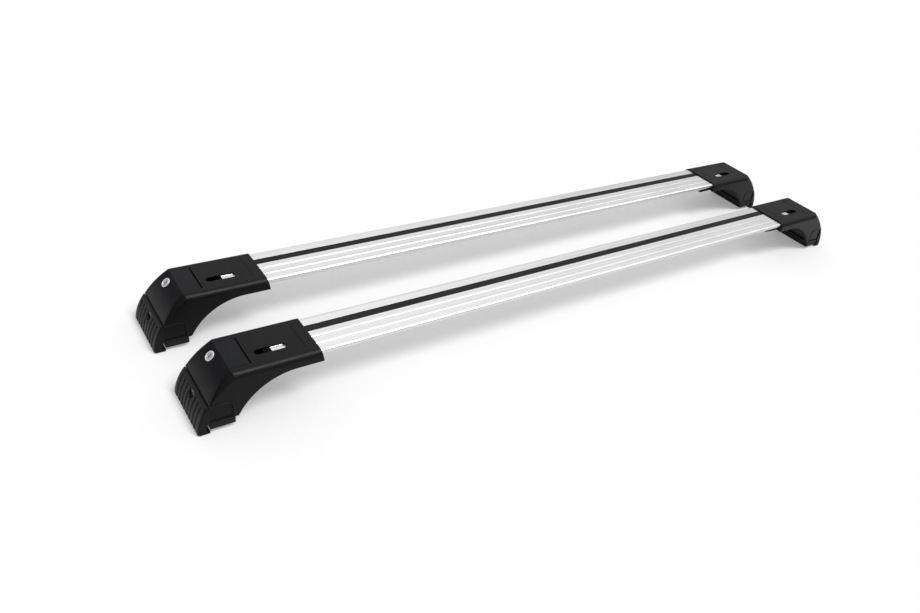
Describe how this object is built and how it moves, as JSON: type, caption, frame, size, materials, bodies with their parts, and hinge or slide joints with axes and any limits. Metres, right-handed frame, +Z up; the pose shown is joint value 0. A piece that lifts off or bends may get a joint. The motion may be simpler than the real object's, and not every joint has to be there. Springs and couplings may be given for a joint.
{
  "type": "pair of roof crossbars",
  "caption": "Pair of flat aluminium roof crossbars with rubber strips, on black moulded feet with locking covers and ribbed clamp jaws for flush rails.",
  "frame": {"origin": "on the floor, midway between the two bars and midway along them", "axes": "+X along the bars, +Y from the front bar to the rear bar, +Z up"},
  "size_m": [1.0998, 0.2248, 0.0663],
  "materials": {
    "anodised": "silver anodised, extruded lines",
    "rubber": "matt black rubber",
    "foot_plastic": "black moulded plastic, fine grain",
    "cover_plastic": "black moulded plastic, satin",
    "jaw_plastic": "dark grey-black moulded plastic, ribbed",
    "chrome": "plated lock",
    "steel": "zinc-plated steel"
  },
  "bodies": {
    "bars": {"front_bar": "anodised", "front_strip": "rubber", "rear_bar": "anodised", "rear_strip": "rubber"},
    "front_left_foot": {"front_left_foot_body": "foot_plastic", "front_left_cover_hinge_pin": "steel", "front_left_clamp_nut": "steel", "front_left_base_pad": "rubber", "front_left_bar_bolts": "steel", "front_left_slide_nut": "steel"},
    "front_left_cover": {"front_left_lock_cover": "cover_plastic", "front_left_lock_barrel": "chrome"},
    "front_left_plug": {"front_left_lock_plug": "chrome", "front_left_lock_cam": "steel"},
    "front_left_jaw": {"front_left_clamp_jaw": "jaw_plastic", "front_left_jaw_liner": "rubber", "front_left_clamp_bolt": "steel", "front_left_bolt_washer": "steel"},
    "front_right_foot": {"front_right_foot_body": "foot_plastic", "front_right_cover_hinge_pin": "steel", "front_right_clamp_nut": "steel", "front_right_base_pad": "rubber", "front_right_bar_bolts": "steel", "front_right_slide_nut": "steel"},
    "front_right_cover": {"front_right_lock_cover": "cover_plastic", "front_right_lock_barrel": "chrome"},
    "front_right_plug": {"front_right_lock_plug": "chrome", "front_right_lock_cam": "steel"},
    "front_right_jaw": {"front_right_clamp_jaw": "jaw_plastic", "front_right_jaw_liner": "rubber", "front_right_clamp_bolt": "steel", "front_right_bolt_washer": "steel"},
    "rear_left_foot": {"rear_left_foot_body": "foot_plastic", "rear_left_cover_hinge_pin": "steel", "rear_left_clamp_nut": "steel", "rear_left_base_pad": "rubber", "rear_left_bar_bolts": "steel", "rear_left_slide_nut": "steel"},
    "rear_left_cover": {"rear_left_lock_cover": "cover_plastic", "rear_left_lock_barrel": "chrome"},
    "rear_left_plug": {"rear_left_lock_plug": "chrome", "rear_left_lock_cam": "steel"},
    "rear_left_jaw": {"rear_left_clamp_jaw": "jaw_plastic", "rear_left_jaw_liner": "rubber", "rear_left_clamp_bolt": "steel", "rear_left_bolt_washer": "steel"},
    "rear_right_foot": {"rear_right_foot_body": "foot_plastic", "rear_right_cover_hinge_pin": "steel", "rear_right_clamp_nut": "steel", "rear_right_base_pad": "rubber", "rear_right_bar_bolts": "steel", "rear_right_slide_nut": "steel"},
    "rear_right_cover": {"rear_right_lock_cover": "cover_plastic", "rear_right_lock_barrel": "chrome"},
    "rear_right_plug": {"rear_right_lock_plug": "chrome", "rear_right_lock_cam": "steel"},
    "rear_right_jaw": {"rear_right_clamp_jaw": "jaw_plastic", "rear_right_jaw_liner": "rubber", "rear_right_clamp_bolt": "steel", "rear_right_bolt_washer": "steel"}
  },
  "joints": [
    {"name": "front_left_foot_slide", "type": "slide", "parent": "bars", "child": "front_left_foot", "axis": [-1, 0, 0], "range_m": [-0.015, 0.015]},
    {"name": "front_left_cover_hinge", "type": "hinge", "parent": "front_left_foot", "child": "front_left_cover", "pos_m": [-0.4896, -0.0735, 0.0623], "axis": [0, 1, 0], "range_deg": [0, 75]},
    {"name": "front_left_lock_turn", "type": "hinge", "parent": "front_left_cover", "child": "front_left_plug", "pos_m": [-0.51803, -0.0615, 0.05954], "axis": [0.6878, 0, -0.7259], "range_deg": [0, 90]},
    {"name": "front_left_jaw_slide", "type": "slide", "parent": "front_left_foot", "child": "front_left_jaw", "axis": [-1, 0, 0], "range_m": [0, 0.008]},
    {"name": "front_right_foot_slide", "type": "slide", "parent": "bars", "child": "front_right_foot", "axis": [1, 0, 0], "range_m": [-0.015, 0.015]},
    {"name": "front_right_cover_hinge", "type": "hinge", "parent": "front_right_foot", "child": "front_right_cover", "pos_m": [0.4896, -0.0735, 0.0623], "axis": [0, -1, 0], "range_deg": [0, 75]},
    {"name": "front_right_lock_turn", "type": "hinge", "parent": "front_right_cover", "child": "front_right_plug", "pos_m": [0.51803, -0.0615, 0.05954], "axis": [0.6878, 0, 0.7259], "range_deg": [0, 90]},
    {"name": "front_right_jaw_slide", "type": "slide", "parent": "front_right_foot", "child": "front_right_jaw", "axis": [1, 0, 0], "range_m": [0, 0.008]},
    {"name": "rear_left_foot_slide", "type": "slide", "parent": "bars", "child": "rear_left_foot", "axis": [-1, 0, 0], "range_m": [-0.015, 0.015]},
    {"name": "rear_left_cover_hinge", "type": "hinge", "parent": "rear_left_foot", "child": "rear_left_cover", "pos_m": [-0.4896, 0.0735, 0.0623], "axis": [0, 1, 0], "range_deg": [0, 75]},
    {"name": "rear_left_lock_turn", "type": "hinge", "parent": "rear_left_cover", "child": "rear_left_plug", "pos_m": [-0.51803, 0.0855, 0.05954], "axis": [0.6878, 0, -0.7259], "range_deg": [0, 90]},
    {"name": "rear_left_jaw_slide", "type": "slide", "parent": "rear_left_foot", "child": "rear_left_jaw", "axis": [-1, 0, 0], "range_m": [0, 0.008]},
    {"name": "rear_right_foot_slide", "type": "slide", "parent": "bars", "child": "rear_right_foot", "axis": [1, 0, 0], "range_m": [-0.015, 0.015]},
    {"name": "rear_right_cover_hinge", "type": "hinge", "parent": "rear_right_foot", "child": "rear_right_cover", "pos_m": [0.4896, 0.0735, 0.0623], "axis": [0, -1, 0], "range_deg": [0, 75]},
    {"name": "rear_right_lock_turn", "type": "hinge", "parent": "rear_right_cover", "child": "rear_right_plug", "pos_m": [0.51803, 0.0855, 0.05954], "axis": [0.6878, 0, 0.7259], "range_deg": [0, 90]},
    {"name": "rear_right_jaw_slide", "type": "slide", "parent": "rear_right_foot", "child": "rear_right_jaw", "axis": [1, 0, 0], "range_m": [0, 0.008]}
  ]
}
